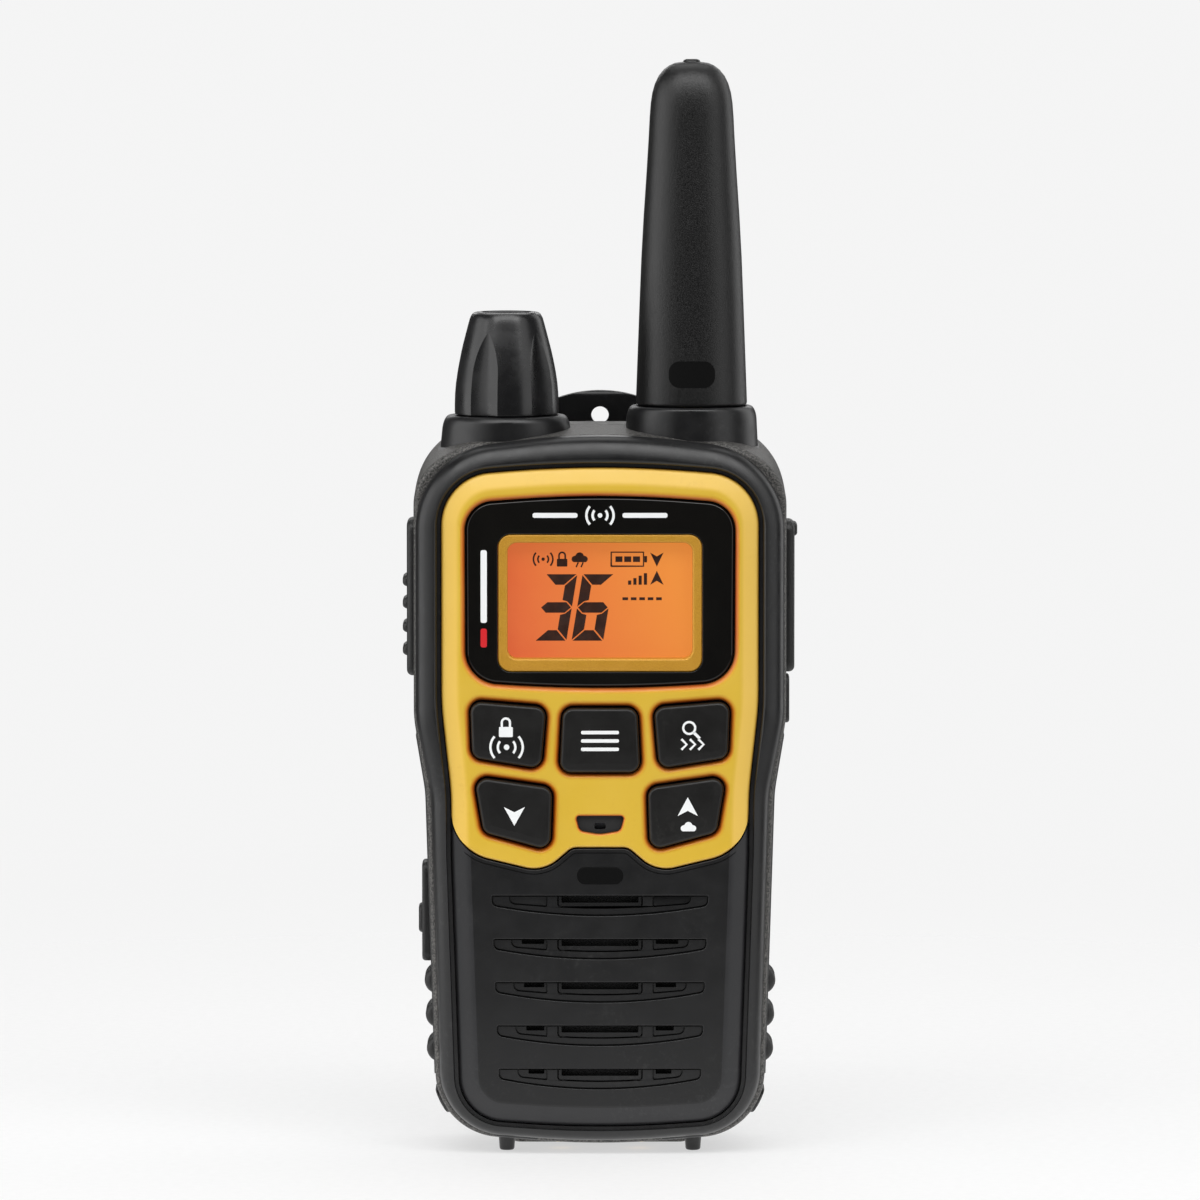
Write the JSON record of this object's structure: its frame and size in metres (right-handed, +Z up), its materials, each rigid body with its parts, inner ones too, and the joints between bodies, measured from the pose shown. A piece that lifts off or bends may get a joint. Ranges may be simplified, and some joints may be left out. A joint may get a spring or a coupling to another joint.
{
  "type": "two way radio",
  "caption": "Handheld two way radio with a lit display, keys, talk button, volume knob, stub antenna, battery bay and a sprung belt clip.",
  "frame": {"origin": "middle of the bounding box footprint, on the surface that the feet stand on", "axes": "+X to the right seen from the front, +Y to the back, +Z up along the antenna"},
  "size_m": [0.0564, 0.038, 0.1563],
  "materials": {
    "case_smooth": "satin moulded plastic, charcoal black",
    "case_textured": "spark-eroded fine texture, charcoal black",
    "grille_black": "satin black plastic",
    "yellow_trim": "satin gloss moulded plastic, golden yellow",
    "lens_black": "polished clear plastic printed black behind",
    "display_gold": "satin gold",
    "display_orange": "lit orange display glass with dark segments",
    "backlight_white": "white light guide",
    "key_rubber": "matte silicone with white printed symbols",
    "knob_black": "satin black plastic",
    "antenna_black": "finely textured soft black sheath",
    "side_rubber": "soft-touch black rubber",
    "latch_black": "satin black plastic",
    "board_green": "green solder mask on glass-fibre board",
    "steel": "plated steel",
    "contact_brass": "gold-plated brass",
    "coil_copper": "drawn copper wire",
    "cone_paper": "pressed black paper",
    "speaker_cloth": "fine black dust cloth",
    "cell_jacket": "plain blue jacket with steel ends"
  },
  "bodies": {
    "case": {"front_housing": "case_smooth", "rear_housing": "case_textured", "speaker_grille": "grille_black", "front_bezel": "yellow_trim", "display_lens": "lens_black", "lens_mask": "lens_black", "lcd_surround": "display_gold", "lcd_panel": "display_orange", "backlight_panel": "backlight_white", "keypad_mat": "key_rubber", "antenna_sheath": "antenna_black", "side_grip_left": "side_rubber", "side_grip_right": "side_rubber", "corner_bumper_left": "side_rubber", "corner_bumper_right": "side_rubber", "jack_cover_anchor": "side_rubber", "jack_module": "latch_black", "ptt_switch": "latch_black", "main_board": "board_green", "rf_shield": "steel", "microphone_capsule": "steel", "usb_socket": "steel", "speaker_frame": "steel", "speaker_magnet": "steel", "volume_pot": "steel", "pot_nut": "steel", "contact_spring_1": "steel", "contact_spring_2": "steel", "contact_spring_3": "steel", "contact_plate_bottom": "steel", "contact_plate_top": "steel", "case_screw_1": "steel", "case_screw_2": "steel", "case_screw_3": "steel", "case_screw_4": "steel", "charge_contact_left": "contact_brass", "charge_contact_right": "contact_brass", "antenna_stud": "contact_brass", "antenna_coil": "coil_copper", "speaker_cone": "cone_paper", "speaker_mesh": "speaker_cloth", "battery_cell_1": "cell_jacket", "battery_cell_2": "cell_jacket", "battery_cell_3": "cell_jacket"},
    "volume_control": {"volume_knob": "knob_black", "volume_shaft": "steel"},
    "key_call": {"key_call": "key_rubber"},
    "key_menu": {"key_menu": "key_rubber"},
    "key_scan": {"key_scan": "key_rubber"},
    "key_down": {"key_down": "key_rubber"},
    "key_up": {"key_up": "key_rubber"},
    "ptt": {"ptt_button": "side_rubber"},
    "jack_cover": {"jack_cover": "side_rubber"},
    "usb_cover": {"usb_cover": "side_rubber"},
    "battery_door": {"battery_door": "case_textured"},
    "door_latch": {"door_latch": "latch_black"},
    "clip_bracket": {"belt_clip_bracket": "case_smooth", "belt_clip_pin": "steel", "belt_clip_spring": "steel"},
    "clip_arm": {"belt_clip_arm": "case_smooth"}
  },
  "joints": [
    {"name": "volume_turn", "type": "hinge", "parent": "case", "child": "volume_control", "pos_m": [-0.0134, -0.006, 0.112], "axis": [0, 0, 1], "range_deg": [-140, 140]},
    {"name": "key_call_press", "type": "slide", "parent": "case", "child": "key_call", "axis": [0, 1, 0], "range_m": [0, 0.0008], "stiffness_N_per_m": 800, "springref_m": -0.0003},
    {"name": "key_menu_press", "type": "slide", "parent": "case", "child": "key_menu", "axis": [0, 1, 0], "range_m": [0, 0.0008], "stiffness_N_per_m": 800, "springref_m": -0.0003},
    {"name": "key_scan_press", "type": "slide", "parent": "case", "child": "key_scan", "axis": [0, 1, 0], "range_m": [0, 0.0008], "stiffness_N_per_m": 800, "springref_m": -0.0003},
    {"name": "key_down_press", "type": "slide", "parent": "case", "child": "key_down", "axis": [0, 1, 0], "range_m": [0, 0.0008], "stiffness_N_per_m": 800, "springref_m": -0.0003},
    {"name": "key_up_press", "type": "slide", "parent": "case", "child": "key_up", "axis": [0, 1, 0], "range_m": [0, 0.0008], "stiffness_N_per_m": 800, "springref_m": -0.0003},
    {"name": "ptt_press", "type": "slide", "parent": "case", "child": "ptt", "axis": [1, 0, 0], "range_m": [0, 0.0009], "stiffness_N_per_m": 1200, "springref_m": -0.0003},
    {"name": "jack_cover_swing", "type": "hinge", "parent": "case", "child": "jack_cover", "pos_m": [0.0278, -0.009, 0.0688], "axis": [0, 1, 0], "range_deg": [0, 110], "stiffness_Nm_per_rad": 0.002},
    {"name": "usb_cover_swing", "type": "hinge", "parent": "case", "child": "usb_cover", "pos_m": [-0.0255, -0.00825, 0.0272], "axis": [0, -1, 0], "range_deg": [0, 110], "stiffness_Nm_per_rad": 0.002},
    {"name": "battery_door_swing", "type": "hinge", "parent": "case", "child": "battery_door", "pos_m": [0, 0.0083, 0.0555], "axis": [1, 0, 0], "range_deg": [0, 80]},
    {"name": "door_latch_slide", "type": "slide", "parent": "battery_door", "child": "door_latch", "axis": [0, 0, -1], "range_m": [0, 0.0018]},
    {"name": "clip_bracket_slide", "type": "slide", "parent": "case", "child": "clip_bracket", "axis": [0, 0, 1], "range_m": [0, 0.0145]},
    {"name": "clip_arm_swing", "type": "hinge", "parent": "clip_bracket", "child": "clip_arm", "pos_m": [0, 0.0132, 0.0945], "axis": [1, 0, 0], "range_deg": [0, 14], "stiffness_Nm_per_rad": 0.12, "springref_deg": -11.46}
  ]
}
